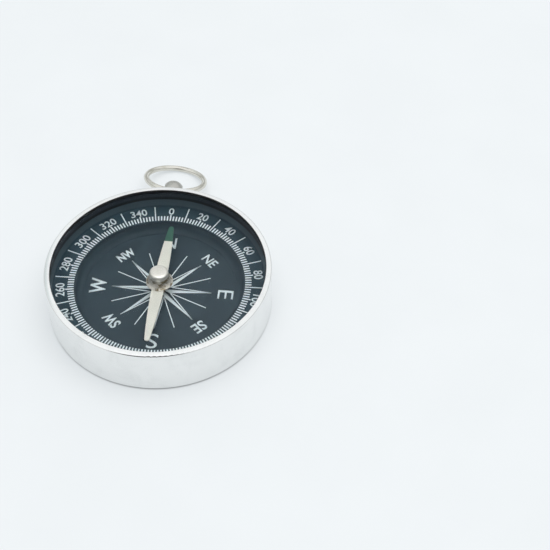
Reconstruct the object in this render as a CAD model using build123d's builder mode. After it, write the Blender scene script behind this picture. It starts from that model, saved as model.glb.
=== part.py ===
"""Pocket compass: a polished round case with a clear window, a stepped dial, a magnetised needle
on a steel point, and a wire ring that swings in a ball stud on the case's side.

Millimetres. The origin is on the case's axis, on the table that the case lies on. +Z is up
through the window and +Y points at the stud. The scale's zero is a degree clockwise of it.
"""
import os
from math import asin, atan, cos, degrees, radians, sin, sqrt

from build123d import *

os.makedirs("parts", exist_ok=True)

# Case: drawn aluminium ring with a crowned rim over the window and its back edge rolled over the back plate
case_radius = 22.5
case_wall = 0.6
rim_width = 1.2
rim_thickness = 0.6
rim_drop = 0.14
rim_crown = 0.025
rim_round = 0.4
rim_inner_round = 0.1
back_edge_width = 2.6
back_edge_thickness = 0.4
back_round = 0.7
back_inner_round = 0.15

# Flat pieces stacked in the case, from the back to the window
back_plate_thickness = 0.8
base_thickness = 1.05
dial_thickness = 0.4
gasket_height = 1.8
gasket_width = 0.3
crystal_thickness = 1.0
crystal_chamfer = 0.15
stack_clearance = 0.05

# Scale ring: a raised shelf with an outer wall that leans outwards, and a hollow foot on the dial
shelf_rise = 2.45
shelf_width = 4.2
shelf_edge_chamfer = 0.12
scale_wall_rise = 1.9
scale_wall_lean = 0.35
scale_corner_round = 0.35
scale_foot_round = 1.5
scale_foot_edge = 0.1

# Pivot: brass bush pressed up through the base and dial, and a steel pin with a fine point
bush_radius = 0.95
bush_flange_radius = 1.8
bush_flange_thickness = 0.4
bush_boss_rise = 0.6
pin_radius = 0.5
pin_point_length = 0.9
pin_tip_radius = 0.04
pivot_rise = 4.75
press_clearance = 0.01

# Jewel: cup bearing that sits on the point
jewel_radius = 0.8
jewel_height = 1.0
jewel_recess_depth = 0.6
jewel_mouth_radius = 0.55
point_clearance = 0.02

# Hub: domed cap over the jewel, with a skirt that flares to a flange on the needle, and a collar under it
hub_height = 3.1
hub_roof = 0.7
hub_spigot_wall = 0.4
hub_cap_radius = 1.9
hub_cap_height = 1.2
hub_cap_dome = 0.15
hub_cap_round = 0.6
hub_neck_radius = 1.7
hub_skirt_hollow = 0.25
hub_flange_radius = 2.7
hub_flange_edge = 0.15
collar_radius = 2.0
collar_thickness = 0.4

# Needle: thin leaf-shaped blade, at rest a little clockwise of the dial's zero
needle_tip_gap = 1.8
needle_waist_width = 2.5
needle_tip_width = 1.05
needle_thickness = 0.25
needle_bearing = 3.2

# Stud: ball on a neck and shoulder, riveted through the case wall
stud_rise = 5.3
stud_reach = 3.75
stud_ball_radius = 2.25
stud_neck_radius = 1.15
stud_shoulder_radius = 1.8
stud_shoulder_thickness = 0.45
stud_shank_radius = 0.8
stud_rivet_radius = 1.1
stud_rivet_depth = 0.3
stud_hole_radius = 1.0
stud_mouth_round = 0.25
stud_hole_lean = 6.0
seat_clearance = 0.02

# Jump ring: round wire bent to a ring and butted at a seam
ring_radius = 6.35
ring_wire_radius = 0.6
ring_seam_gap = 0.12
ring_seam_angle = 270.0

# Levels of the stack
back_plate_top = back_edge_thickness + back_plate_thickness
base_top = back_plate_top + base_thickness
dial_top = base_top + dial_thickness
shelf_top = dial_top + shelf_rise
scale_top = shelf_top + scale_wall_rise
crystal_bottom = scale_top + gasket_height
crystal_top = crystal_bottom + crystal_thickness
case_height = crystal_top + rim_thickness

# Radii of the case's openings and of what lies in its bore
window_radius = case_radius - rim_width
back_opening_radius = case_radius - back_edge_width
bore_radius = case_radius - case_wall
stack_radius = bore_radius - stack_clearance
wall_top_radius = stack_radius - gasket_width
wall_foot_radius = wall_top_radius - scale_wall_lean
shelf_inner_radius = wall_foot_radius - shelf_width

# The needle reaches almost to the shelf, and hangs from the point through its jewel
needle_half_length = shelf_inner_radius - needle_tip_gap
point_top = dial_top + pivot_rise
jewel_apex = point_top + point_clearance
jewel_bottom = jewel_apex - jewel_recess_depth
jewel_top = jewel_bottom + jewel_height
hub_top = jewel_top + hub_roof
blade_top = hub_top - hub_height
blade_bottom = blade_top - needle_thickness
collar_bottom = blade_bottom - collar_thickness
hub_bore_radius = jewel_radius + press_clearance
hub_spigot_radius = hub_bore_radius + hub_spigot_wall

# The stud stands halfway up the case's wall, with its hole turned a little about the stud's own axis
stud_centre = Vector(0, case_radius + stud_reach, stud_rise)
stud_axis = Axis((0, 0, stud_centre.Z), (0, 1, 0))
stud_plane = Plane(origin=(0, 0, stud_centre.Z), x_dir=(0, 1, 0), z_dir=(1, 0, 0))
lean = radians(stud_hole_lean)
hole_direction = Vector(cos(lean), 0, -sin(lean))
hole_plane = Plane(
    origin=stud_centre, x_dir=hole_direction, z_dir=hole_direction.cross(Vector(0, 1, 0))
)

# The ring hangs from the hole until its lowest point lies on the table
hang_ratio = (stud_centre.Z - ring_wire_radius) / ring_radius
hang_drop = (hang_ratio**2 - sin(lean) ** 2) / (2 * hang_ratio * cos(lean))
hang_angle = asin(hang_drop)
hang_direction = Vector(-hang_drop * sin(lean), cos(hang_angle), -hang_drop * cos(lean))
ring_centre = stud_centre + hang_direction * ring_radius
ring_normal = hole_direction.cross(hang_direction)


def rivet_outline(clearance):
    """Half outline of the stud's shank and rivet flare, from inside the bore to the shoulder."""
    inner_end = bore_radius - case_wall
    flare_end = bore_radius + stud_rivet_depth
    outer_end = case_radius + stud_shoulder_thickness / 2
    Polyline(
        (inner_end, 0),
        (inner_end, stud_rivet_radius + clearance),
        (bore_radius, stud_rivet_radius + clearance),
        (flare_end, stud_shank_radius + clearance),
        (outer_end, stud_shank_radius + clearance),
        (outer_end, 0),
        close=True,
    )


# Case body: one ring with a crowned, sloping rim, rounded at its edges, and the hole for the stud's rivet
with BuildPart() as case_body:
    with BuildSketch(Plane.XZ) as case_profile:
        rim_edge = case_height - rim_drop
        rim_point = ((case_radius + window_radius) / 2, (case_height + rim_edge) / 2 + rim_crown)
        with BuildLine():
            ThreePointArc((case_radius, rim_edge), rim_point, (window_radius, case_height))
            Polyline(
                (window_radius, case_height),
                (window_radius, crystal_top),
                (bore_radius, crystal_top),
                (bore_radius, back_edge_thickness),
                (back_opening_radius, back_edge_thickness),
                (back_opening_radius, 0),
                (case_radius, 0),
                (case_radius, rim_edge),
            )
        make_face()
        rounded_corners = [
            ((case_radius, 0), back_round),
            ((back_opening_radius, 0), back_inner_round),
            ((case_radius, rim_edge), rim_round),
            ((window_radius, case_height), rim_inner_round),
        ]
        for corner, corner_round in rounded_corners:
            fillet(case_profile.vertices().sort_by_distance(corner)[0], radius=corner_round)
    revolve(axis=Axis.Z)
    with BuildSketch(stud_plane):
        with BuildLine():
            rivet_outline(seat_clearance)
        make_face()
    revolve(axis=stud_axis, mode=Mode.SUBTRACT)
case_body.part.label = "case_body"
export_step(case_body.part, "parts/case_body.step")

# Back plate: flat disc that rests on the rolled back edge
with BuildPart() as back_plate:
    with BuildSketch(Plane.XY.offset(back_edge_thickness)):
        Circle(stack_radius)
    extrude(amount=back_plate_thickness)
back_plate.part.label = "back_plate"
export_step(back_plate.part, "parts/back_plate.step")

# Dial base: moulded disc, recessed underneath for the flange of the pivot's bush
with BuildPart() as dial_base:
    with BuildSketch(Plane.XY.offset(back_plate_top)):
        Circle(stack_radius)
        Circle(bush_radius + press_clearance, mode=Mode.SUBTRACT)
    extrude(amount=base_thickness)
    with BuildSketch(Plane.XY.offset(back_plate_top)):
        Circle(bush_flange_radius + press_clearance)
    extrude(amount=bush_flange_thickness + press_clearance, mode=Mode.SUBTRACT)
dial_base.part.label = "dial_base"
export_step(dial_base.part, "parts/dial_base.step")

# Rose dial: thin printed disc, held down by the scale ring
with BuildPart() as rose_dial:
    with BuildSketch(Plane.XY.offset(base_top)):
        Circle(stack_radius)
        Circle(bush_radius + press_clearance, mode=Mode.SUBTRACT)
    extrude(amount=dial_thickness)
rose_dial.part.label = "rose_dial"
export_step(rose_dial.part, "parts/rose_dial.step")

# Scale ring: the raised shelf for the degrees, with its leaning wall and its hollow foot
with BuildPart() as scale_ring:
    with BuildSketch(Plane.XZ) as scale_profile:
        foot_radius = shelf_inner_radius - scale_foot_round
        foot_top = dial_top + scale_foot_edge
        hollow_depth = scale_foot_round * (1 - cos(radians(45)))
        hollow_point = (shelf_inner_radius - hollow_depth, foot_top + hollow_depth)
        with BuildLine():
            ThreePointArc(
                (foot_radius, foot_top),
                hollow_point,
                (shelf_inner_radius, foot_top + scale_foot_round),
            )
            Polyline(
                (shelf_inner_radius, foot_top + scale_foot_round),
                (shelf_inner_radius, shelf_top),
                (wall_foot_radius, shelf_top),
                (wall_top_radius, scale_top),
                (stack_radius, scale_top),
                (stack_radius, dial_top),
                (foot_radius, dial_top),
                (foot_radius, foot_top),
            )
        make_face()
        shelf_edge = scale_profile.vertices().sort_by_distance((shelf_inner_radius, shelf_top))[0]
        chamfer(shelf_edge, length=shelf_edge_chamfer)
        wall_foot = scale_profile.vertices().sort_by_distance((wall_foot_radius, shelf_top))[0]
        fillet(wall_foot, radius=scale_corner_round)
    revolve(axis=Axis.Z)
scale_ring.part.label = "scale_ring"
export_step(scale_ring.part, "parts/scale_ring.step")

# Crystal gasket: black band between the scale ring's wall and the window
with BuildPart() as crystal_gasket:
    with BuildSketch(Plane.XY.offset(scale_top)):
        Circle(stack_radius)
        Circle(wall_top_radius, mode=Mode.SUBTRACT)
    extrude(amount=gasket_height)
crystal_gasket.part.label = "crystal_gasket"
export_step(crystal_gasket.part, "parts/crystal_gasket.step")

# Crystal: flat clear window under the case's rim
with BuildPart() as crystal:
    with BuildSketch(Plane.XY.offset(crystal_bottom)):
        Circle(stack_radius)
    extrude(amount=crystal_thickness)
    chamfer(crystal.edges().filter_by(GeomType.CIRCLE), length=crystal_chamfer)
crystal.part.label = "crystal"
export_step(crystal.part, "parts/crystal.step")

# Pivot bush: brass, with its flange under the base and a boss round the pin above the dial
with BuildPart() as pivot_bush:
    with BuildSketch(Plane.XZ):
        bush_bore_radius = pin_radius + press_clearance
        bush_flange_top = back_plate_top + bush_flange_thickness
        bush_boss_top = dial_top + bush_boss_rise
        with BuildLine():
            Polyline(
                (bush_bore_radius, back_plate_top),
                (bush_flange_radius, back_plate_top),
                (bush_flange_radius, bush_flange_top),
                (bush_radius, bush_flange_top),
                (bush_radius, bush_boss_top),
                (bush_bore_radius, bush_boss_top),
                close=True,
            )
        make_face()
    revolve(axis=Axis.Z)
pivot_bush.part.label = "pivot_bush"
export_step(pivot_bush.part, "parts/pivot_bush.step")

# Pivot pin: steel, ground to a point
with BuildPart() as pivot_pin:
    with BuildSketch(Plane.XZ):
        with BuildLine():
            Polyline(
                (0, back_plate_top),
                (pin_radius, back_plate_top),
                (pin_radius, point_top - pin_point_length),
                (pin_tip_radius, point_top),
                (0, point_top),
                close=True,
            )
        make_face()
    revolve(axis=Axis.Z)
pivot_pin.part.label = "pivot_pin"
export_step(pivot_pin.part, "parts/pivot_pin.step")

# Jewel: cup with a conical recess over the point
with BuildPart() as jewel:
    with BuildSketch(Plane.XZ):
        with BuildLine():
            Polyline(
                (0, jewel_apex),
                (jewel_mouth_radius, jewel_bottom),
                (jewel_radius, jewel_bottom),
                (jewel_radius, jewel_top),
                (0, jewel_top),
                close=True,
            )
        make_face()
    revolve(axis=Axis.Z)
jewel.part.label = "jewel"
export_step(jewel.part, "parts/jewel.step")

# Needle hub: domed cap on a flaring skirt, its spigot through the blade and the collar
with BuildPart() as needle_hub:
    with BuildSketch(Plane.XZ) as hub_profile:
        cap_edge = hub_top - hub_cap_dome
        cap_bottom = hub_top - hub_cap_height
        flange_top = blade_top + hub_flange_edge
        dome_radius = (hub_cap_radius**2 + hub_cap_dome**2) / (2 * hub_cap_dome)
        dome_half = hub_cap_radius / 2
        dome_point = (dome_half, hub_top - dome_radius + sqrt(dome_radius**2 - dome_half**2))
        skirt_run = Vector(hub_flange_radius - hub_neck_radius, flange_top - cap_bottom)
        skirt_middle = Vector(hub_neck_radius, cap_bottom) + skirt_run * 0.5
        skirt_inward = Vector(skirt_run.Y, -skirt_run.X).normalized()
        skirt_point = skirt_middle + skirt_inward * hub_skirt_hollow
        with BuildLine():
            ThreePointArc((0, hub_top), dome_point, (hub_cap_radius, cap_edge))
            Polyline(
                (hub_cap_radius, cap_edge),
                (hub_cap_radius, cap_bottom),
                (hub_neck_radius, cap_bottom),
            )
            ThreePointArc(
                (hub_neck_radius, cap_bottom), skirt_point, (hub_flange_radius, flange_top)
            )
            Polyline(
                (hub_flange_radius, flange_top),
                (hub_flange_radius, blade_top),
                (hub_spigot_radius, blade_top),
                (hub_spigot_radius, collar_bottom),
                (hub_bore_radius, collar_bottom),
                (hub_bore_radius, jewel_top),
                (0, jewel_top),
                (0, hub_top),
            )
        make_face()
        cap_corner = hub_profile.vertices().sort_by_distance((hub_cap_radius, cap_edge))[0]
        fillet(cap_corner, radius=hub_cap_round)
    revolve(axis=Axis.Z)
needle_hub.part.label = "needle_hub"
export_step(needle_hub.part, "parts/needle_hub.step")

# Hub collar: washer riveted on the spigot under the blade
with BuildPart() as hub_collar:
    with BuildSketch(Plane.XY.offset(collar_bottom)):
        Circle(collar_radius)
        Circle(hub_spigot_radius + press_clearance, mode=Mode.SUBTRACT)
    extrude(amount=collar_thickness)
hub_collar.part.label = "hub_collar"
export_step(hub_collar.part, "parts/hub_collar.step")

# Needle blade: leaf-shaped sheet with rounded ends
with BuildPart() as needle_blade:
    with BuildSketch(Plane.XY.offset(blade_bottom).rotated((0, 0, -needle_bearing))):
        waist = needle_waist_width / 2
        tip = needle_tip_width / 2
        shoulder = needle_half_length - tip
        with BuildLine():
            ThreePointArc((tip, -shoulder), (waist, 0), (tip, shoulder))
            ThreePointArc((tip, shoulder), (0, needle_half_length), (-tip, shoulder))
            ThreePointArc((-tip, shoulder), (-waist, 0), (-tip, -shoulder))
            ThreePointArc((-tip, -shoulder), (0, -needle_half_length), (tip, -shoulder))
        make_face()
        Circle(hub_spigot_radius + press_clearance, mode=Mode.SUBTRACT)
    extrude(amount=needle_thickness)
needle_blade.part.label = "needle_blade"
export_step(needle_blade.part, "parts/needle_blade.step")

# Pendant stud: ball, neck and shoulder outside the wall, shank and rivet flare through it
with BuildPart() as pendant_stud:
    with BuildSketch(stud_plane):
        shoulder_face = case_radius + stud_shoulder_thickness
        neck_end = stud_centre.Y - sqrt(stud_ball_radius**2 - stud_neck_radius**2)
        ball_turn = radians(45)
        ball_point = (
            stud_centre.Y + stud_ball_radius * cos(ball_turn),
            stud_ball_radius * sin(ball_turn),
        )
        with BuildLine():
            Polyline(
                (stud_centre.Y + stud_ball_radius, 0),
                (bore_radius, 0),
                (bore_radius, stud_shoulder_radius),
                (shoulder_face, stud_shoulder_radius),
                (shoulder_face, stud_neck_radius),
                (neck_end, stud_neck_radius),
            )
            ThreePointArc(
                (neck_end, stud_neck_radius), ball_point, (stud_centre.Y + stud_ball_radius, 0)
            )
        make_face()
    revolve(axis=stud_axis)
    Cylinder(
        radius=case_radius + seat_clearance,
        height=case_height,
        align=(Align.CENTER, Align.CENTER, Align.MIN),
        mode=Mode.SUBTRACT,
    )
    with BuildSketch(stud_plane):
        with BuildLine():
            rivet_outline(0)
        make_face()
    revolve(axis=stud_axis)
    Cylinder(
        radius=bore_radius,
        height=case_height,
        align=(Align.CENTER, Align.CENTER, Align.MIN),
        mode=Mode.SUBTRACT,
    )
    with BuildSketch(hole_plane):
        mouth_radius = stud_hole_radius + stud_mouth_round
        mouth_end = sqrt(stud_ball_radius**2 - mouth_radius**2)
        mouth_start = mouth_end - stud_mouth_round
        arc_depth = stud_mouth_round * (1 - cos(radians(45)))
        arc_middle = (mouth_end - arc_depth, stud_hole_radius + arc_depth)
        with BuildLine():
            Polyline((0, 0), (0, stud_hole_radius), (mouth_start, stud_hole_radius))
            ThreePointArc(
                (mouth_start, stud_hole_radius), arc_middle, (mouth_end, mouth_radius)
            )
            Polyline(
                (mouth_end, mouth_radius),
                (stud_ball_radius, mouth_radius),
                (stud_ball_radius, 0),
                (0, 0),
            )
        make_face()
        mirror(about=Plane.YZ)
    revolve(axis=Axis(stud_centre, hole_direction), mode=Mode.SUBTRACT)
pendant_stud.part.label = "pendant_stud"
export_step(pendant_stud.part, "parts/pendant_stud.step")

# Jump ring: wire turned round the ring's axis from one side of the seam to the other
with BuildPart() as jump_ring:
    seam = radians(ring_seam_angle)
    seam_direction = hole_direction * cos(seam) + hang_direction * sin(seam)
    seam_span = degrees(2 * atan(ring_seam_gap / 2 / ring_radius))
    wire_plane = Plane(
        origin=ring_centre + seam_direction * ring_radius,
        x_dir=seam_direction,
        z_dir=seam_direction.cross(ring_normal),
    )
    with BuildSketch(wire_plane):
        Circle(ring_wire_radius)
    revolve(axis=Axis(ring_centre, ring_normal), revolution_arc=360 - seam_span)
jump_ring.part.label = "jump_ring"
export_step(jump_ring.part, "parts/jump_ring.step")

print(f"case {2 * case_radius:.1f} across and {case_height:.2f} high")
print(f"stud centre {tuple(round(v, 3) for v in stud_centre)}")
print(f"hole direction {tuple(round(v, 4) for v in hole_direction)}")
print(f"ring centre {tuple(round(v, 3) for v in ring_centre)}, hanging {degrees(hang_angle):.2f} degrees")
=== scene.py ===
"""Finishes, printing and studio for a pocket compass.

Metres, in the frame of the solids: the origin is on the case's axis on the table, +Z is up through
the window, and +Y points at the stud. The scale's zero is a degree clockwise of it.
"""
from math import cos, radians, sin

import bpy
from mathutils import Matrix, Vector


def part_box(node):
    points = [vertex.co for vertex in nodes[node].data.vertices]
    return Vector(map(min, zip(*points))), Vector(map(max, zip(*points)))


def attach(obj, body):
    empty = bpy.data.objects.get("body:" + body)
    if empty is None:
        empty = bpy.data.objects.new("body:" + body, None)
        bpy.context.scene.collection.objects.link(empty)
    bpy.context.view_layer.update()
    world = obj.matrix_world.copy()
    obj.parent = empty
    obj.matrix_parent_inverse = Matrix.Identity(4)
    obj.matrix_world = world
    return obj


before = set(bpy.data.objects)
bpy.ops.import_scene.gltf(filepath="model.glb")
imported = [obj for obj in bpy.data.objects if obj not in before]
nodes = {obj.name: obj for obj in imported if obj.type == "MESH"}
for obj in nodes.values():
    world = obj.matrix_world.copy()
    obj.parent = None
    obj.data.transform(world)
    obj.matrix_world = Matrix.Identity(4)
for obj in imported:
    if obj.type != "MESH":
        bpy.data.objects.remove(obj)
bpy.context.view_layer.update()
mm = 0.001


def add_node(tree, kind, settings=None, **values):
    """A node with its settings and inputs. An input goes by its label, or by its number as i0, i1
    and so on, and is linked where it is given a socket."""
    node = tree.nodes.new(kind)
    for key, value in (settings or {}).items():
        setattr(node, key, value)
    for key, value in values.items():
        number = key.removeprefix("i")
        socket = node.inputs[int(number) if number.isdigit() else key]
        if isinstance(value, bpy.types.NodeSocket):
            tree.links.new(value, socket)
        else:
            socket.default_value = value
    return node


def math_node(tree, operation, first, second=0.0):
    """The result of one sum on two values or sockets."""
    return add_node(tree, "ShaderNodeMath", {"operation": operation}, i0=first, i1=second).outputs[0]


def vector_node(tree, operation, first, second=(0, 0, 0)):
    """A node for one sum on two vectors or sockets."""
    return add_node(tree, "ShaderNodeVectorMath", {"operation": operation}, i0=first, i1=second)


def mix_colours(tree, share, first, second):
    """A colour that goes from the first to the second as the share goes from 0 to 1."""
    ends = [end if isinstance(end, bpy.types.NodeSocket) else (*end, 1) for end in (first, second)]
    node = add_node(tree, "ShaderNodeMix", {"data_type": "RGBA"}, i0=share, i6=ends[0], i7=ends[1])
    return node.outputs[2]


def spread(tree, value, source, target=(0.0, 1.0)):
    """A value stretched softly from one range to another, and held at its ends."""
    node = add_node(
        tree, "ShaderNodeMapRange", {"interpolation_type": "SMOOTHSTEP"},
        i0=value, i1=source[0], i2=source[1], i3=target[0], i4=target[1],
    )
    return node.outputs[0]


def from_axis(tree, place):
    """The flat vector from the compass's axis to a place, and its length."""
    flat = vector_node(tree, "MULTIPLY", place, (1, 1, 0)).outputs[0]
    return flat, vector_node(tree, "LENGTH", flat).outputs["Value"]


def new_finish(name, colour, roughness, metallic=0.0):
    """A material with its plain values set, ready for the nodes of its own finish."""
    finish = bpy.data.materials.new(name)
    finish.use_nodes = True
    shader = finish.node_tree.nodes["Principled BSDF"]
    shader.inputs["Base Color"].default_value = (*colour, 1)
    shader.inputs["Roughness"].default_value = roughness
    shader.inputs["Metallic"].default_value = metallic
    return finish, finish.node_tree, shader


def bump(tree, shader, height, depth):
    """Surface relief of a depth in metres, from a height that runs from 0 to 1."""
    node = add_node(tree, "ShaderNodeBump", Height=height, Distance=depth, Strength=1.0)
    tree.links.new(node.outputs["Normal"], shader.inputs["Normal"])
    return node


def dress(node_name, finish):
    """Gives a solid its finish."""
    for slot in nodes[node_name].material_slots:
        slot.material = finish


def new_effect(name, amounts, results):
    """An empty node group that reads a place and amounts, for an effect that several finishes share."""
    group = bpy.data.node_groups.new(name, "ShaderNodeTree")
    group.interface.new_socket("Place", in_out="INPUT", socket_type="NodeSocketVector")
    for label in amounts:
        group.interface.new_socket(label, in_out="INPUT", socket_type="NodeSocketFloat")
    for label in results:
        group.interface.new_socket(label, in_out="OUTPUT", socket_type="NodeSocketFloat")
    return group, group.nodes.new("NodeGroupInput").outputs, group.nodes.new("NodeGroupOutput").inputs


def own_place(tree):
    """The piece's own coordinates."""
    return add_node(tree, "ShaderNodeTexCoord").outputs["Object"]


def own_height(tree):
    """The height above the table, in the piece's own coordinates."""
    return add_node(tree, "ShaderNodeSeparateXYZ", Vector=own_place(tree)).outputs[2]


def add_effect(tree, group, **amounts):
    """A shared effect placed in one finish under its own name, reading the piece's own coordinates."""
    settings = {"node_tree": group, "name": group.name}
    return add_node(tree, "ShaderNodeGroup", settings, Place=own_place(tree), **amounts)


# Lines that turning or polishing leaves round the compass's axis
turned_lines, given, result = new_effect("turned_lines", ["Fineness", "Run"], ["Lines"])
place = add_node(turned_lines, "ShaderNodeSeparateXYZ", Vector=given["Place"])
distance = from_axis(turned_lines, given["Place"])[1]
across = math_node(turned_lines, "ADD", distance, place.outputs[2])
line_place = add_node(
    turned_lines, "ShaderNodeCombineXYZ",
    X=math_node(turned_lines, "MULTIPLY", place.outputs[0], given["Run"]),
    Y=math_node(turned_lines, "MULTIPLY", place.outputs[1], given["Run"]),
    Z=math_node(turned_lines, "MULTIPLY", across, given["Fineness"]),
)
line_noise = add_node(
    turned_lines, "ShaderNodeTexNoise", Vector=line_place.outputs[0], Scale=1.0, Detail=3.0, Roughness=0.65
)
turned_lines.links.new(line_noise.outputs["Fac"], result["Lines"])

# Soft patches where fingers have dulled a polish
handled_range = (0.42, 0.72)
handling_marks, given, result = new_effect("handling_marks", ["Patches"], ["Marks"])
patch_noise = add_node(
    handling_marks, "ShaderNodeTexNoise",
    Vector=given["Place"], Scale=given["Patches"], Detail=5.0, Roughness=0.6, Distortion=0.6,
)
marks = spread(handling_marks, patch_noise.outputs["Fac"], handled_range)
handling_marks.links.new(marks, result["Marks"])

# The polish outside, and a dark matt band on the lip's inner face near the window's level
whole_range = (0.0, 1.0)
case_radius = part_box("case_body")[1].x
window_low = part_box("crystal")[0].z
case_colour = (0.868, 0.875, 0.868)
case_dull_colour = (0.82, 0.83, 0.825)
case_roughness = 0.1
case_line_range = (0.3, 0.7)
case_polish_range = (0.05, 0.09)
case_handled_dulling = 0.06
case_line_depth = 0.0006 * mm
lip_colour = (0.007, 0.0075, 0.0085)
lip_roughness = 0.5
rim_width = 1.2 * mm
lip_radius = case_radius - rim_width
lip_dark_range = (lip_radius + 0.03 * mm, lip_radius + 0.08 * mm)
lip_level_range = (window_low - 0.8 * mm, window_low + 0.2 * mm)
case_metal, tree, shader = new_finish("case_polished_aluminium", case_colour, case_roughness, metallic=1.0)
lines = add_effect(tree, turned_lines, Fineness=14000.0, Run=260.0).outputs["Lines"]
marks = add_effect(tree, handling_marks, Patches=190.0).outputs["Marks"]
line_polish = spread(tree, lines, case_line_range, case_polish_range)
polish = math_node(tree, "ADD", line_polish, spread(tree, marks, whole_range, (0.0, case_handled_dulling)))
outside = mix_colours(tree, marks, case_colour, case_dull_colour)
flat, out_from_axis = from_axis(tree, own_place(tree))
height = own_height(tree)
# The lip's inner face is made dark and matt near the window's level.
inside = spread(tree, out_from_axis, lip_dark_range, (1.0, 0.0))
lip = math_node(tree, "MULTIPLY", inside, spread(tree, height, lip_level_range))
tree.links.new(mix_colours(tree, lip, outside, lip_colour), shader.inputs["Base Color"])
tree.links.new(math_node(tree, "SUBTRACT", 1.0, lip), shader.inputs["Metallic"])
lip_dullness = math_node(tree, "MULTIPLY", lip, lip_roughness)
tree.links.new(math_node(tree, "ADD", polish, lip_dullness), shader.inputs["Roughness"])
relief = bump(tree, shader, lines, case_line_depth)


def other_side(tree, side):
    """The second short side of a right triangle whose long side is 1."""
    square = math_node(tree, "MULTIPLY", side, side)
    return math_node(tree, "SQRT", math_node(tree, "SUBTRACT", 1.0, square))


# The facing of the rim's crown and outer round, worked out from their radii,
# so that the mesh's flats don't break the polish
rim_round = 0.4 * mm
rim_round_level = 9.9246 * mm
rim_level_range = (rim_round_level - 0.06 * mm, rim_round_level)
crown_radius = 7.36 * mm
crown_centre = case_radius - 1.45 * mm
rim_start = case_radius - 1.0 * mm
rim_start_range = (rim_start, rim_start + 0.1 * mm)
rise = math_node(tree, "DIVIDE", math_node(tree, "SUBTRACT", height, rim_round_level), rim_round)
rise = math_node(tree, "MINIMUM", math_node(tree, "MAXIMUM", rise, 0.0), 1.0)
past_centre = math_node(tree, "SUBTRACT", out_from_axis, crown_centre)
crown_lean = math_node(tree, "DIVIDE", past_centre, crown_radius)
lean = math_node(tree, "MAXIMUM", other_side(tree, rise), crown_lean)
outwards = vector_node(tree, "NORMALIZE", flat).outputs[0]
leaning = add_node(tree, "ShaderNodeVectorMath", {"operation": "SCALE"}, i0=outwards, Scale=lean).outputs[0]
rising = add_node(tree, "ShaderNodeCombineXYZ", Z=other_side(tree, lean)).outputs[0]
facing = add_node(
    tree, "ShaderNodeVectorTransform",
    {"vector_type": "NORMAL", "convert_from": "OBJECT", "convert_to": "WORLD"},
    Vector=vector_node(tree, "ADD", leaning, rising).outputs[0],
).outputs[0]
above_round = spread(tree, height, rim_level_range)
on_rim = math_node(tree, "MULTIPLY", above_round, spread(tree, out_from_axis, rim_start_range))
mesh_facing = add_node(tree, "ShaderNodeNewGeometry").outputs["Normal"]
smooth = add_node(tree, "ShaderNodeMix", {"data_type": "VECTOR"}, i0=on_rim, i4=mesh_facing, i5=facing)
tree.links.new(smooth.outputs[1], relief.inputs["Normal"])
dress("case_body", case_metal)

# Back plate: flat aluminium disc that lies on the case's rolled back edge.
# Its face is bright from the rolling mill, with a fine speckle and soft marks of handling.
back_colour = (0.80, 0.82, 0.83)
back_speck_colour = (0.68, 0.70, 0.71)
back_roughness = 0.16
back_polish_range = (0.1, 0.2)
speck_range = (0.12, 0.3)
speck_dulling = 0.12
speck_depth = 0.002 * mm
back_metal, tree, shader = new_finish("back_rolled_aluminium", back_colour, back_roughness, metallic=1.0)
marks = add_effect(tree, handling_marks, Patches=120.0).outputs["Marks"]
specks = add_node(tree, "ShaderNodeTexVoronoi", Vector=own_place(tree), Scale=3200.0).outputs["Distance"]
speck = spread(tree, specks, speck_range, (1.0, 0.0))
tree.links.new(mix_colours(tree, speck, back_colour, back_speck_colour), shader.inputs["Base Color"])
back_polish = spread(tree, marks, whole_range, back_polish_range)
dullness = math_node(tree, "ADD", back_polish, math_node(tree, "MULTIPLY", speck, speck_dulling))
tree.links.new(dullness, shader.inputs["Roughness"])
bump(tree, shader, specks, speck_depth)
dress("back_plate", back_metal)

# Dial base: black moulded disc inside the case, which the pivot's bush is pressed into.
# Plain moulded plastic with the fine spark texture of its mould.
tone_coarseness = 0.06
tone_range = (0.3, 0.7)
mould_grain, given, result = new_effect("mould_grain", ["Fineness"], ["Height", "Tone"])
grain_noise = add_node(
    mould_grain, "ShaderNodeTexNoise",
    Vector=given["Place"], Scale=given["Fineness"], Detail=4.0, Roughness=0.7,
)
tone_noise = add_node(
    mould_grain, "ShaderNodeTexNoise",
    Vector=given["Place"], Scale=math_node(mould_grain, "MULTIPLY", given["Fineness"], tone_coarseness),
    Detail=3.0, Roughness=0.5,
)
mould_grain.links.new(grain_noise.outputs["Fac"], result["Height"])
mould_grain.links.new(spread(mould_grain, tone_noise.outputs["Fac"], tone_range), result["Tone"])
tone_dulling = 0.05


def moulded_finish(name, colour, worn_colour, roughness, fineness, depth, gloss=0.2):
    """A matt moulded or painted finish, with a fine grain and a slow change of tone."""
    finish, tree, shader = new_finish(name, colour, roughness)
    shader.inputs["Specular IOR Level"].default_value = gloss
    grain = add_effect(tree, mould_grain, Fineness=fineness)
    tone = grain.outputs["Tone"]
    tree.links.new(mix_colours(tree, tone, colour, worn_colour), shader.inputs["Base Color"])
    dullness = spread(tree, tone, whole_range, (roughness - tone_dulling, roughness + tone_dulling))
    tree.links.new(dullness, shader.inputs["Roughness"])
    bump(tree, shader, grain.outputs["Height"], depth)
    return finish


base_colour = (0.022, 0.022, 0.024)
base_worn_colour = (0.03, 0.03, 0.033)
base_plastic = moulded_finish(
    "base_black_plastic", base_colour, base_worn_colour, roughness=0.55, fineness=5000.0, depth=0.006 * mm
)
dress("dial_base", base_plastic)

# Rose dial: thin sheet disc, painted slate black and printed with the compass rose in pale ink.
# It lies on the dial base and is held down at its edge by the scale ring.
dial_colour = (0.042, 0.067, 0.084)
dial_worn_colour = (0.047, 0.073, 0.091)
dial_paint = moulded_finish(
    "dial_slate_paint", dial_colour, dial_worn_colour, roughness=0.6, fineness=6000.0, depth=0.003 * mm
)
dress("rose_dial", dial_paint)

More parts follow.
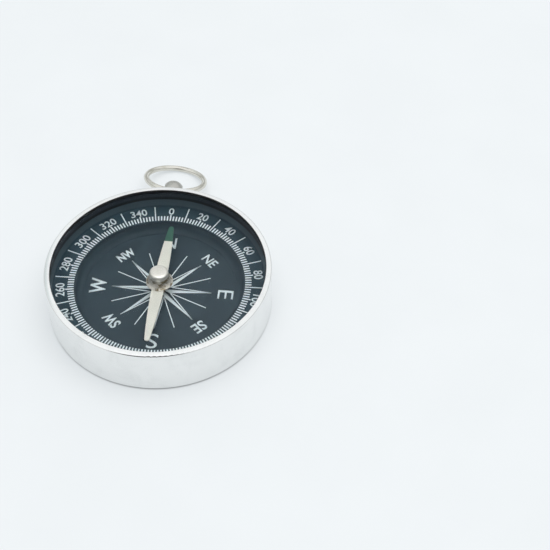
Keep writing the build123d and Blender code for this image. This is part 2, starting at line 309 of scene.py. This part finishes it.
ink_colour = (0.89, 0.98, 1.0)
ink_thin_colour = (0.84, 0.95, 0.99)
ink_thickness = 0.012 * mm
dial_ink = moulded_finish(
    "pale_ink", ink_colour, ink_thin_colour, roughness=0.55, fineness=9000.0, depth=0.003 * mm
)


def deselect():
    """Leaves nothing selected, so that an operator acts on the new piece alone."""
    bpy.ops.object.select_all(action="DESELECT")


def raise_ink(piece):
    """Gives the active flat shape the thickness of a coat of ink."""
    bpy.ops.object.mode_set(mode="EDIT")
    bpy.ops.mesh.select_all(action="SELECT")
    bpy.ops.mesh.normals_make_consistent(inside=False)
    bpy.ops.mesh.extrude_region_move(TRANSFORM_OT_translate={"value": (0, 0, ink_thickness)})
    bpy.ops.mesh.select_all(action="SELECT")
    bpy.ops.mesh.normals_make_consistent(inside=False)
    bpy.ops.object.mode_set(mode="OBJECT")
    return piece


def ink_shape(corners, level):
    """A flat inked shape with the given corners, at the level of the surface that it is printed on."""
    deselect()
    bpy.ops.mesh.primitive_circle_add(vertices=len(corners), radius=mm, fill_type="NGON")
    piece = bpy.context.object
    for vertex, corner in zip(piece.data.vertices, corners):
        vertex.co = (*corner, level)
    return raise_ink(piece)


def polar(radius, bearing):
    """The place on the dial at a radius and a bearing in degrees, clockwise from +Y."""
    return Vector((radius * sin(radians(bearing)), radius * cos(radians(bearing))))


def line_shape(start, end, width, level):
    """A straight inked line of an even width."""
    side = (end - start).normalized().orthogonal() * width / 2
    return ink_shape([start - side, end - side, end + side, start + side], level)


def join_pieces(pieces, name):
    """Joins printed shapes into one piece with a mesh of its own."""
    deselect()
    for piece in pieces:
        piece.select_set(True)
    bpy.context.view_layer.objects.active = pieces[0]
    bpy.ops.object.join()
    joined = bpy.context.object
    joined.name = name
    joined.data.name = name
    return joined


def print_on(piece, body):
    """Finishes a printed piece in ink and fixes it to its body."""
    piece.data.materials.clear()
    piece.data.materials.append(dial_ink)
    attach(piece, body)


# The rose: eight rays, each half filled and half outlined, with a thin line between each two,
# printed a fifth of a millimetre off the axis each way
dial_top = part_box("rose_dial")[1].z
rose_turn = 2.2
rose_centre = Vector((0.2 * mm, 0.2 * mm))
ray_count = 8
ray_step = 360 / ray_count
ray_reach = 10.15 * mm
ray_waist_radius = 2.0 * mm
outline_width = 0.2 * mm
line_reach = 10.3 * mm
line_width = 0.2 * mm
rose_pieces = []
for ray in range(ray_count):
    bearing = rose_turn + ray * ray_step
    tip = rose_centre + polar(ray_reach, bearing)
    filled_side = rose_centre + polar(ray_waist_radius, bearing + ray_step / 2)
    open_side = rose_centre + polar(ray_waist_radius, bearing - ray_step / 2)
    rose_pieces.append(ink_shape([rose_centre, tip, filled_side], dial_top))
    rose_pieces.append(line_shape(rose_centre, tip, outline_width, dial_top))
    rose_pieces.append(line_shape(open_side, tip, outline_width, dial_top))
    line_end = rose_centre + polar(line_reach, bearing + ray_step / 2)
    rose_pieces.append(line_shape(filled_side, line_end, line_width, dial_top))
rose = join_pieces(rose_pieces, "rose_print")
print_on(rose, "case")

curve_steps = 6


def ink_text(body, bearing, radius, height, widening, weight, level):
    """Inked characters, tops outwards and thickened by a weight, centred at a bearing and a radius."""
    deselect()
    bpy.ops.object.text_add()
    text = bpy.context.object
    text.data.body = body
    text.data.align_x = "CENTER"
    text.data.resolution_u = curve_steps
    text.data.offset = weight
    bpy.ops.object.convert(target="MESH")
    piece = bpy.context.object
    across = [vertex.co.x for vertex in piece.data.vertices]
    upwards = [vertex.co.y for vertex in piece.data.vertices]
    middle = ((min(across) + max(across)) / 2, (min(upwards) + max(upwards)) / 2, 0)
    scale = height / (max(upwards) - min(upwards))
    piece.data.transform(Matrix.Translation(-Vector(middle)))
    piece.data.transform(Matrix.Diagonal((scale * widening, scale, scale, 1)))
    piece.data.transform(Matrix.Translation((0, radius, level)))
    piece.data.transform(Matrix.Rotation(-radians(bearing), 4, "Z"))
    return raise_ink(piece)


# The rose's letters, large at the four main points and small between them:
# each has its bearing, radius, height, widening and the added weight of its strokes
letter_shift = Vector((0.27 * mm, 0.04 * mm, 0.0))
rose_letters = {
    "N": (0, 12.95 * mm, 3.0 * mm, 0.85, 0.01),
    "E": (90, 12.95 * mm, 3.15 * mm, 1.25, -0.003),
    "S": (180, 13.12 * mm, 3.6 * mm, 1.12, 0.0),
    "W": (270, 12.95 * mm, 3.2 * mm, 0.84, 0.022),
    "NE": (45, 12.35 * mm, 2.15 * mm, 0.9, 0.016),
    "SE": (135, 12.35 * mm, 2.5 * mm, 0.85, 0.02),
    "SW": (225, 12.35 * mm, 2.4 * mm, 0.76, 0.026),
    "NW": (315, 12.35 * mm, 2.1 * mm, 0.76, 0.034),
}
letter_pieces = []
for letters, (bearing, radius, height, widening, weight) in rose_letters.items():
    letter_pieces.append(ink_text(letters, bearing + rose_turn, radius, height, widening, weight, dial_top))
letters = join_pieces(letter_pieces, "rose_letters")
letters.data.transform(Matrix.Translation(letter_shift))
print_on(letters, "case")

# Pivot bush and pin: a turned brass bush pressed through the dial, and a ground steel point in it.
# Fine turning lines run round both.
turned_range = (0.35, 0.7)
turned_bright = 0.05
turned_dulling = 0.08
turned_depth = 0.002 * mm


def turned_finish(name, colour, dark_colour, roughness, fineness, metallic=1.0):
    """A turned metal finish, with lines round the axis in its tone, gloss and relief."""
    finish, tree, shader = new_finish(name, colour, roughness, metallic)
    lines = add_effect(tree, turned_lines, Fineness=fineness, Run=500.0).outputs["Lines"]
    tone = spread(tree, lines, turned_range)
    tree.links.new(mix_colours(tree, tone, colour, dark_colour), shader.inputs["Base Color"])
    dullness = spread(tree, tone, whole_range, (roughness - turned_bright, roughness + turned_dulling))
    tree.links.new(dullness, shader.inputs["Roughness"])
    bump(tree, shader, lines, turned_depth)
    return finish


brass_colour = (0.66, 0.48, 0.22)
brass_dark_colour = (0.5, 0.36, 0.17)
brass = turned_finish("turned_brass", brass_colour, brass_dark_colour, roughness=0.25, fineness=12000.0)
dress("pivot_bush", brass)
steel_colour = (0.56, 0.56, 0.57)
steel_dark_colour = (0.42, 0.42, 0.43)
point_steel = turned_finish(
    "ground_steel", steel_colour, steel_dark_colour, roughness=0.22, fineness=16000.0
)
dress("pivot_pin", point_steel)

# Scale ring: moulded black ring that stands on the dial, with the degrees printed on its shelf.
# Its wall leans outwards to the gasket, and a small round joins wall and shelf.
# Its foot has the dial's colour, and its upright faces carry painted light: a lighter colour than the
# shelf's, making up for the light that their steep faces miss.
shelf_top = dial_top + 2.45 * mm
scale_colour = (0.038, 0.072, 0.093)
scale_worn_colour = (0.042, 0.077, 0.099)
scale_upright_painted_light_colour = (0.088, 0.128, 0.154)
scale_upright_painted_light_worn_colour = (0.095, 0.137, 0.163)
inner_face_painted_light_range = (dial_top + 0.55 * mm, dial_top + 1.55 * mm)
shelf_range = (shelf_top - 0.15 * mm, shelf_top - 0.02 * mm)
wall_painted_light_range = (shelf_top + 0.1 * mm, shelf_top + 0.6 * mm)
scale_plastic = moulded_finish(
    "scale_slate_plastic", dial_colour, dial_worn_colour, roughness=0.6, fineness=5000.0, depth=0.004 * mm
)
dress("scale_ring", scale_plastic)


def change_above(finish, level_range, colour, worn_colour):
    """Changes a moulded finish to another colour above a level, softly between two heights."""
    tree = finish.node_tree
    shader = tree.nodes["Principled BSDF"]
    tone = tree.nodes[mould_grain.name].outputs["Tone"]
    below = shader.inputs["Base Color"].links[0].from_socket
    above = mix_colours(tree, tone, colour, worn_colour)
    share = spread(tree, own_height(tree), level_range)
    tree.links.new(mix_colours(tree, share, below, above), shader.inputs["Base Color"])


# Painted light: the riser and the wall are lightened, and the shelf between them keeps its own colour.
change_above(scale_plastic, inner_face_painted_light_range, scale_upright_painted_light_colour, scale_upright_painted_light_worn_colour)
change_above(scale_plastic, shelf_range, scale_colour, scale_worn_colour)
change_above(scale_plastic, wall_painted_light_range, scale_upright_painted_light_colour, scale_upright_painted_light_worn_colour)

# The ticks: one every two degrees, longer under each number, and long halfway between two numbers
shelf_flat_radius = 20.909 * mm
shelf_round = 0.35 * mm
scale_turn = 0.9
scale_shift = Vector((0.02 * mm, 0.0, 0.0))
number_step = 20
tick_step = 2
tick_start = 17.14 * mm
tick_end = 18.4 * mm
number_tick_end = 18.8 * mm
long_end = 21.1 * mm
tick_width = 0.285 * mm
long_width = 0.24 * mm
strip_steps = 12


def scale_level(radius):
    """The height of the shelf at a radius, where it may already rise along the round to the wall."""
    past = min(max(radius - shelf_flat_radius, 0.0), shelf_round)
    return shelf_top + shelf_round - (shelf_round**2 - past**2) ** 0.5


def tick_strip(bearing, end, width):
    """A narrow strip that lies on the shelf, in short lengths so that it follows the wall's round."""
    deselect()
    bpy.ops.mesh.primitive_grid_add(x_subdivisions=1, y_subdivisions=strip_steps, size=1)
    strip = bpy.context.object
    strip.data.transform(Matrix.Diagonal((width, end - tick_start, 1, 1)))
    strip.data.transform(Matrix.Translation((0, (end + tick_start) / 2, 0)))
    strip.data.transform(Matrix.Rotation(-radians(bearing), 4, "Z"))
    strip.data.transform(Matrix.Translation(scale_shift))
    for vertex in strip.data.vertices:
        vertex.co.z = scale_level(vertex.co.xy.length)
    return strip


tick_pieces = []
for bearing in range(0, 360, tick_step):
    past_number = bearing % number_step
    end, width = tick_end, tick_width
    if past_number == number_step / 2:
        end, width = long_end, long_width
    elif past_number == 0:
        end = number_tick_end
    tick_pieces.append(tick_strip(bearing + scale_turn, end, width))
ticks = raise_ink(join_pieces(tick_pieces, "degree_ticks"))
print_on(ticks, "case")

number_height = 1.85 * mm
number_widening = 0.95
number_weight = 0.014
number_radius = 19.85 * mm
number_pieces = []
for bearing in range(0, 360, number_step):
    number = ink_text(
        str(bearing), bearing + scale_turn, number_radius,
        number_height, number_widening, number_weight, shelf_top,
    )
    number_pieces.append(number)
numbers = join_pieces(number_pieces, "degree_numbers")
numbers.data.transform(Matrix.Translation(scale_shift))
print_on(numbers, "case")

# Gasket: black rubber band between the scale ring's wall and the window.
# Extruded and cut to length, with a dull skin, and painted shade low down where it meets the scale ring.
gasket_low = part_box("crystal_gasket")[0].z
gasket_painted_shade_colour = (0.013, 0.017, 0.023)
gasket_painted_shade_worn_colour = (0.016, 0.02, 0.026)
gasket_face_colour = (0.042, 0.055, 0.072)
gasket_face_worn_colour = (0.047, 0.061, 0.078)
gasket_face_range = (gasket_low + 0.6 * mm, gasket_low + 0.95 * mm)
# Painted shade: the rubber is darker below its face, where it meets the scale ring.
gasket_rubber = moulded_finish(
    "gasket_black_rubber", gasket_painted_shade_colour, gasket_painted_shade_worn_colour,
    roughness=0.45, fineness=7000.0, depth=0.002 * mm, gloss=0.4,
)
change_above(gasket_rubber, gasket_face_range, gasket_face_colour, gasket_face_worn_colour)
dress("crystal_gasket", gasket_rubber)

# Jewel: small red cup that sits on the point, pressed into the hub.
# Polished stone with a faint cloud in it.
jewel_colour = (0.4, 0.03, 0.05)
jewel_cloud_colour = (0.3, 0.02, 0.04)
jewel_stone = moulded_finish(
    "jewel_stone", jewel_colour, jewel_cloud_colour,
    roughness=0.12, fineness=3000.0, depth=0.0005 * mm, gloss=0.6,
)
dress("jewel", jewel_stone)

# Needle blade: magnetised steel leaf, painted cream, with its north end dipped in dark green.
# The paint lies a little unevenly.
needle_bearing = 3.2
green_start = 11.0 * mm
green_range = (green_start - 0.04 * mm, green_start + 0.04 * mm)
cream_colour = (0.86, 0.855, 0.77)
cream_worn_colour = (0.81, 0.805, 0.72)
green_colour = (0.038, 0.134, 0.096)
needle_roughness = 0.42
paint_depth = 0.004 * mm
needle_paint, tree, shader = new_finish("needle_cream_and_green", cream_colour, needle_roughness)
grain = add_effect(tree, mould_grain, Fineness=5000.0)
along = add_node(
    tree, "ShaderNodeMapping", {"vector_type": "POINT"},
    Vector=own_place(tree), Rotation=(0, 0, radians(needle_bearing)),
)
along_needle = add_node(tree, "ShaderNodeSeparateXYZ", Vector=along.outputs[0]).outputs[1]
dipped = spread(tree, along_needle, green_range)
cream = mix_colours(tree, grain.outputs["Tone"], cream_colour, cream_worn_colour)
tree.links.new(mix_colours(tree, dipped, cream, green_colour), shader.inputs["Base Color"])
bump(tree, shader, grain.outputs["Height"], paint_depth)
dress("needle_blade", needle_paint)

# Hub and collar: a domed nickel cap on a skirt that stands on the needle, and a brass washer under it.
# The cap's spigot is riveted over the washer and holds the needle between them.
# The skirt is a darker brown in patches.
hub_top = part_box("needle_hub")[1].z
hub_colour = (0.92, 0.9, 0.84)
hub_dark_colour = (0.82, 0.79, 0.71)
hub_skirt_brown_colour = (0.27, 0.215, 0.12)
skirt_range = (hub_top - 1.42 * mm, hub_top - 1.12 * mm)
skirt_brown_mark_range = (0.0, 0.6)
skirt_brown_range = (0.2, 1.0)
hub_nickel = turned_finish(
    "hub_satin_nickel", hub_colour, hub_dark_colour, roughness=0.34, fineness=9000.0, metallic=0.42
)
tree = hub_nickel.node_tree
shader = tree.nodes["Principled BSDF"]
# The skirt is mixed towards a darker brown in patches.
skirt = spread(tree, own_height(tree), skirt_range, (1.0, 0.0))
marks = add_effect(tree, handling_marks, Patches=800.0).outputs["Marks"]
skirt_brown = math_node(tree, "MULTIPLY", spread(tree, marks, skirt_brown_mark_range, skirt_brown_range), skirt)
bright = shader.inputs["Base Color"].links[0].from_socket
tree.links.new(mix_colours(tree, skirt_brown, bright, hub_skirt_brown_colour), shader.inputs["Base Color"])
dress("needle_hub", hub_nickel)
dress("hub_collar", brass)

# Crystal: flat clear window that lies on the gasket under the case's rim.
# Polished acrylic, with the faintest smears.
crystal_colour = (0.995, 1.0, 1.0)
crystal_index = 1.49
smear_dulling = 0.008
crystal_clear, tree, shader = new_finish("window_clear", crystal_colour, roughness=0.0)
shader.inputs["Transmission Weight"].default_value = 1.0
shader.inputs["IOR"].default_value = crystal_index
marks = add_effect(tree, handling_marks, Patches=160.0).outputs["Marks"]
tree.links.new(spread(tree, marks, whole_range, (0.0, smear_dulling)), shader.inputs["Roughness"])
dress("crystal", crystal_clear)

# Stud and ring: a turned ball stud riveted through the case, and a wire ring that swings in its hole.
# Both are nickel plated, a little warm beside the case: the ring polished and the stud left satin.
nickel_colour = (0.72, 0.7, 0.64)
nickel_dull_colour = (0.62, 0.6, 0.53)
nickel_roughness = 0.12
nickel_polish_range = (0.08, 0.18)
ring_nickel, tree, shader = new_finish(
    "ring_polished_nickel", nickel_colour, nickel_roughness, metallic=1.0
)
marks = add_effect(tree, handling_marks, Patches=420.0).outputs["Marks"]
tree.links.new(mix_colours(tree, marks, nickel_colour, nickel_dull_colour), shader.inputs["Base Color"])
tree.links.new(spread(tree, marks, whole_range, nickel_polish_range), shader.inputs["Roughness"])
dress("jump_ring", ring_nickel)
stud_colour = (0.52, 0.515, 0.48)
stud_dark_colour = (0.45, 0.44, 0.41)
stud_nickel = turned_finish(
    "stud_satin_nickel", stud_colour, stud_dark_colour, roughness=0.32, fineness=7000.0
)
dress("pendant_stud", stud_nickel)

# Table: a wide pale sheet that runs out of sight on every side, matt and very slightly blue.
# Part of its paleness is only shown to the camera and in polish and glass, so that it lights nothing. It is
# left out under the case and just round its foot, which paints shade along the contact.
table_colour = (0.284, 0.286, 0.287)
table_worn_colour = (0.294, 0.296, 0.297)
table_glow_colour = (0.444, 0.475, 0.492)
no_colour = (0.0, 0.0, 0.0)
table_reach = 4.0
table_gap = 0.02 * mm
case_edge_range = (case_radius - 0.6 * mm, case_radius + 0.2 * mm)
deselect()
bpy.ops.mesh.primitive_plane_add(size=table_reach, location=(0, 0, -table_gap))
table = bpy.context.object
table.name = "table"
table_sheet = moulded_finish(
    "table_pale_sheet", table_colour, table_worn_colour, roughness=0.6, fineness=900.0, depth=0.002 * mm
)
tree = table_sheet.node_tree
shader = tree.nodes["Principled BSDF"]
out_from_axis = vector_node(tree, "LENGTH", own_place(tree)).outputs["Value"]
# Painted shade: the shown paleness fades out towards the case's foot, leaving a dark line at the contact.
clear_of_case = spread(tree, out_from_axis, case_edge_range)
rays = add_node(tree, "ShaderNodeLightPath").outputs
seen = math_node(tree, "MAXIMUM", rays["Is Camera Ray"], rays["Is Glossy Ray"])
seen = math_node(tree, "MAXIMUM", seen, rays["Is Transmission Ray"])
shown = math_node(tree, "MULTIPLY", clear_of_case, seen)
glow = mix_colours(tree, shown, no_colour, table_glow_colour)
tree.links.new(glow, shader.inputs["Emission Color"])
shader.inputs["Emission Strength"].default_value = 1.0
table.data.materials.append(table_sheet)

# Camera: the long lens and high angle of the picture, a little right of the compass.
# Its place was worked out from the outlines of the rim, the scale and the rose.
photo_size = 550
photo_focal = 1200.0
sensor = 36.0
camera_place = Vector((28.3, -156.62, 187.46)) * mm
camera_pitch = 48.67
camera_heading = 1.9
camera_roll = 1.1
nearest_seen = 0.01
farthest_seen = 20.0
deselect()
bpy.ops.object.camera_add(location=camera_place)
camera = bpy.context.object
camera.data.sensor_width = sensor
camera.data.lens = sensor * photo_focal / photo_size
camera.data.clip_start = nearest_seen
camera.data.clip_end = farthest_seen
camera.rotation_euler = (
    Matrix.Rotation(radians(camera_heading), 4, "Z")
    @ Matrix.Rotation(radians(90 - camera_pitch), 4, "X")
    @ Matrix.Rotation(radians(camera_roll), 4, "Z")
).to_euler()
bpy.context.scene.camera = camera

# Light: a white tent and one soft lamp near its top, kept out of the polish, so that there is hardly
# any shadow. A dark card behind the compass keeps glare off the window, and the tent is open
# where the picture is taken.
tent_colour = (1.0, 1.02, 1.03)
tent_top_colour = (1.13, 1.14, 1.15)
tent_foot_colour = (0.56, 0.58, 0.58)
tent_side_colour = (0.68, 0.76, 0.77)
tent_foot_range = (0.05, 0.7)
tent_top_range = (0.84, 0.98)
tent_side_direction = Vector((-0.557, 0.557, 0.616))
tent_side_edges = (6, 16)
card_far_colour = (0.0, 0.0, 0.0)
card_near_colour = (0.15, 0.155, 0.165)
card_lowering = 0.953
card_direction = Vector((-camera_place.x, -camera_place.y, camera_place.z * card_lowering))
card_edges = (4.5, 7.2)
card_run = (0.7, -1.0, 0.0)
card_run_range = (-0.81, -0.65)
opening_colour = (0.06, 0.06, 0.06)
opening_direction = Vector((-0.09, -1.0, 0.36))
opening_edges = (16, 36)
world = bpy.data.worlds.new("white_tent")
bpy.context.scene.world = world
world.use_nodes = True
tree = world.node_tree
background = tree.nodes["Background"]
direction = add_node(tree, "ShaderNodeTexCoord").outputs["Generated"]
height = add_node(tree, "ShaderNodeSeparateXYZ", Vector=direction).outputs[2]


def patch(centre, edges):
    """A soft round patch of the tent about a direction, with its inner and outer edges in degrees."""
    inner, outer = edges
    nearness = vector_node(tree, "DOT_PRODUCT", direction, centre.normalized()).outputs["Value"]
    return spread(tree, nearness, (cos(radians(outer)), cos(radians(inner))))


tent = mix_colours(tree, spread(tree, height, tent_foot_range), tent_foot_colour, tent_colour)
tent = mix_colours(tree, patch(tent_side_direction, tent_side_edges), tent, tent_side_colour)
tent = mix_colours(tree, spread(tree, height, tent_top_range), tent, tent_top_colour)
along_card = vector_node(tree, "DOT_PRODUCT", direction, card_run).outputs["Value"]
card = mix_colours(tree, spread(tree, along_card, card_run_range), card_far_colour, card_near_colour)
tent = mix_colours(tree, patch(card_direction, card_edges), tent, card)
tent = mix_colours(tree, patch(opening_direction, opening_edges), tent, opening_colour)
tree.links.new(tent, background.inputs["Color"])
background.inputs["Strength"].default_value = 1.0

lamp_place = Vector((0.1, -0.03, 0.7))
lamp_width = 0.8
lamp_power = 3.9
deselect()
bpy.ops.object.light_add(type="AREA", location=lamp_place)
lamp = bpy.context.object
lamp.name = "soft_lamp"
lamp.data.shape = "DISK"
lamp.data.size = lamp_width
lamp.data.energy = lamp_power
lamp.visible_glossy = False
lamp.rotation_euler = (-lamp_place).to_track_quat("-Z", "Y").to_euler()

bpy.context.scene.view_settings.view_transform = "Standard"
